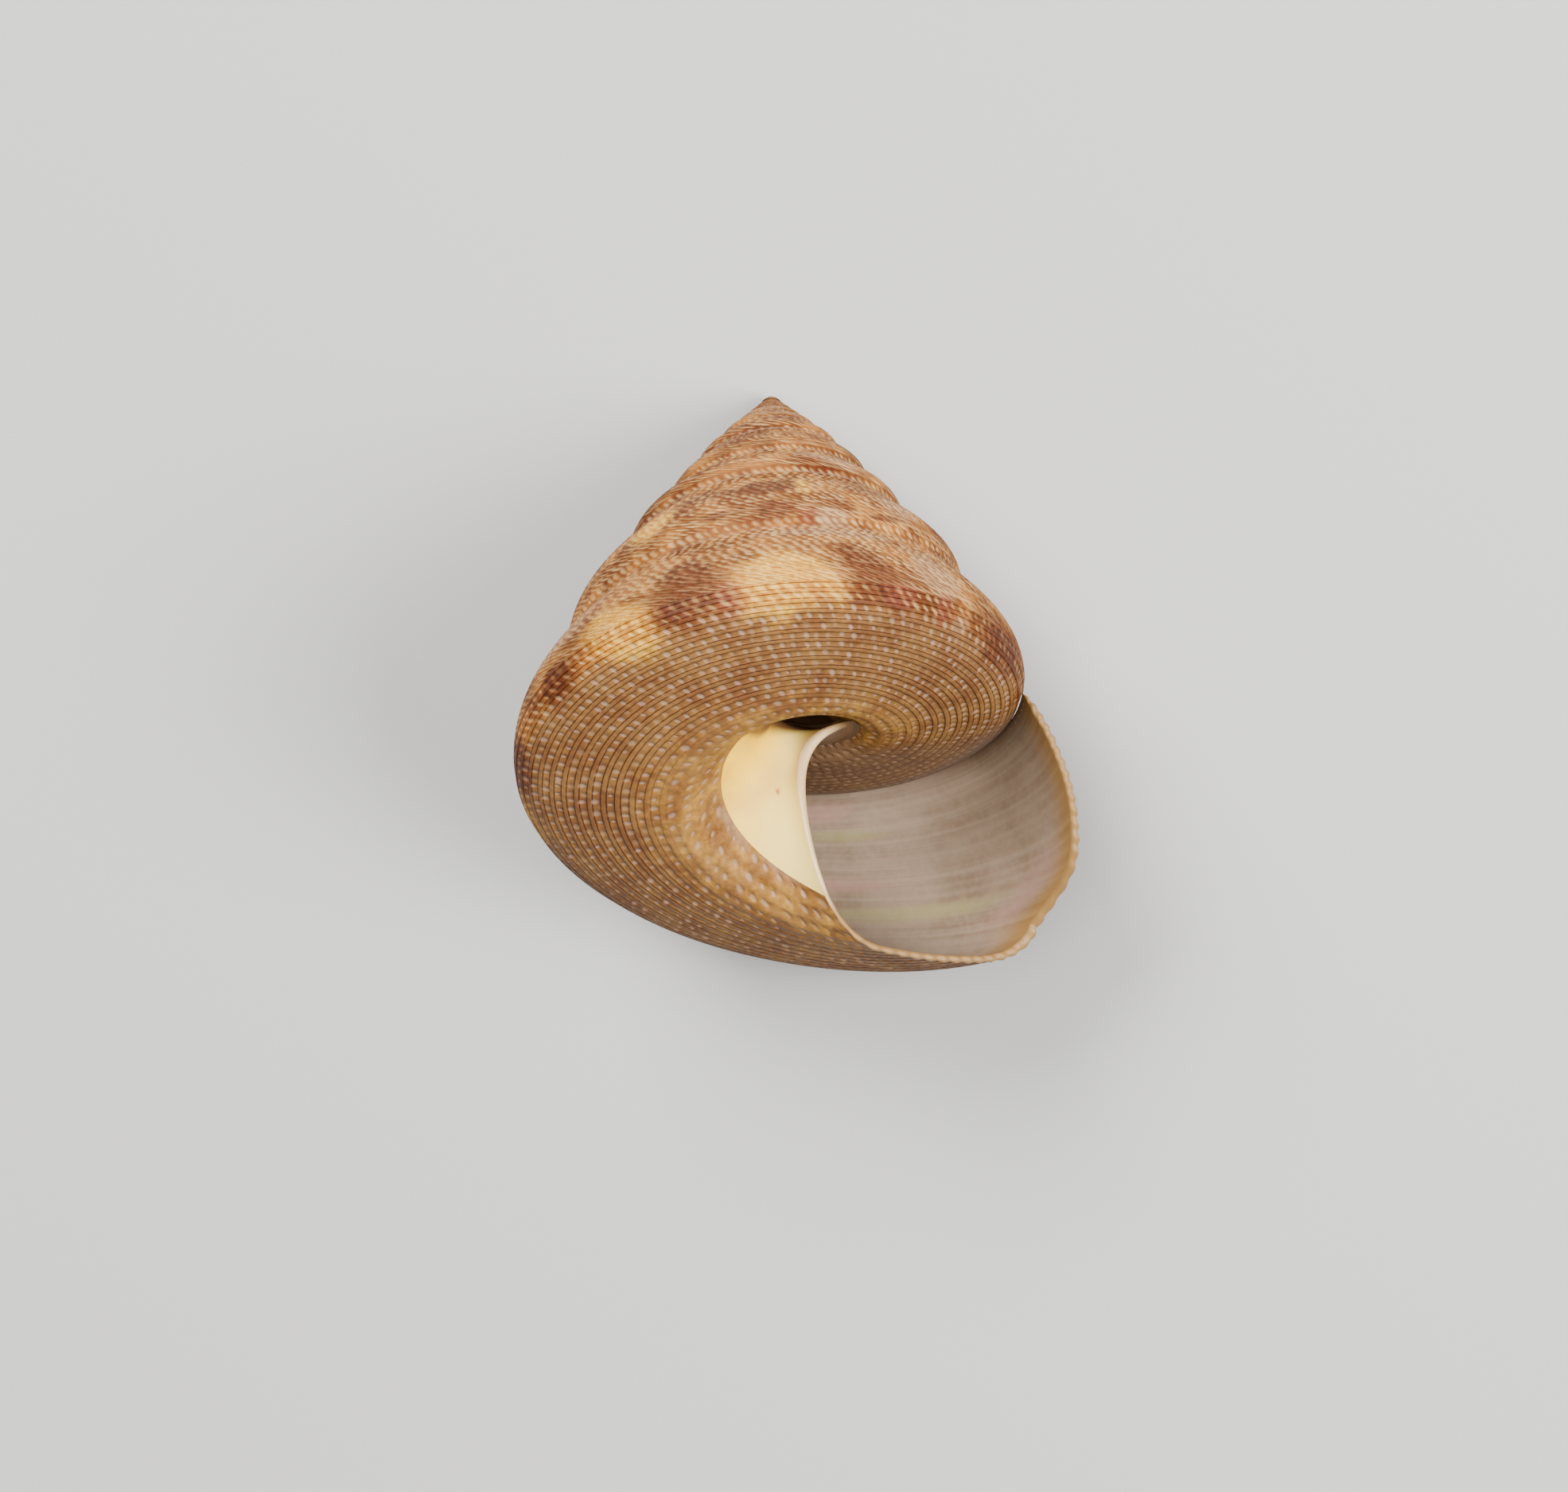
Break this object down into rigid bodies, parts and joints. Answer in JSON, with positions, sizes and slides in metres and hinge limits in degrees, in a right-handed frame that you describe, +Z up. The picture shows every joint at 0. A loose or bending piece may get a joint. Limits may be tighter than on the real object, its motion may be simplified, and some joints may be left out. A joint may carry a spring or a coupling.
{
  "type": "top shell",
  "caption": "Empty top shell, a cone-shaped sea snail shell with beaded cords, an open funnel in its base and a wide nacre-lined mouth, lying on its side",
  "frame": {"origin": "centre of the bounding box in X and Y, on the surface the shell lies on", "axes": "+Z up from the surface the shell lies on, +Y towards the tip of the spire, +X to the side the mouth opens towards"},
  "size_m": [0.027, 0.03, 0.023],
  "materials": {
    "shell_wall": "satin"
  },
  "bodies": {
    "root": {"shell": "shell_wall"}
  },
  "joints": []
}
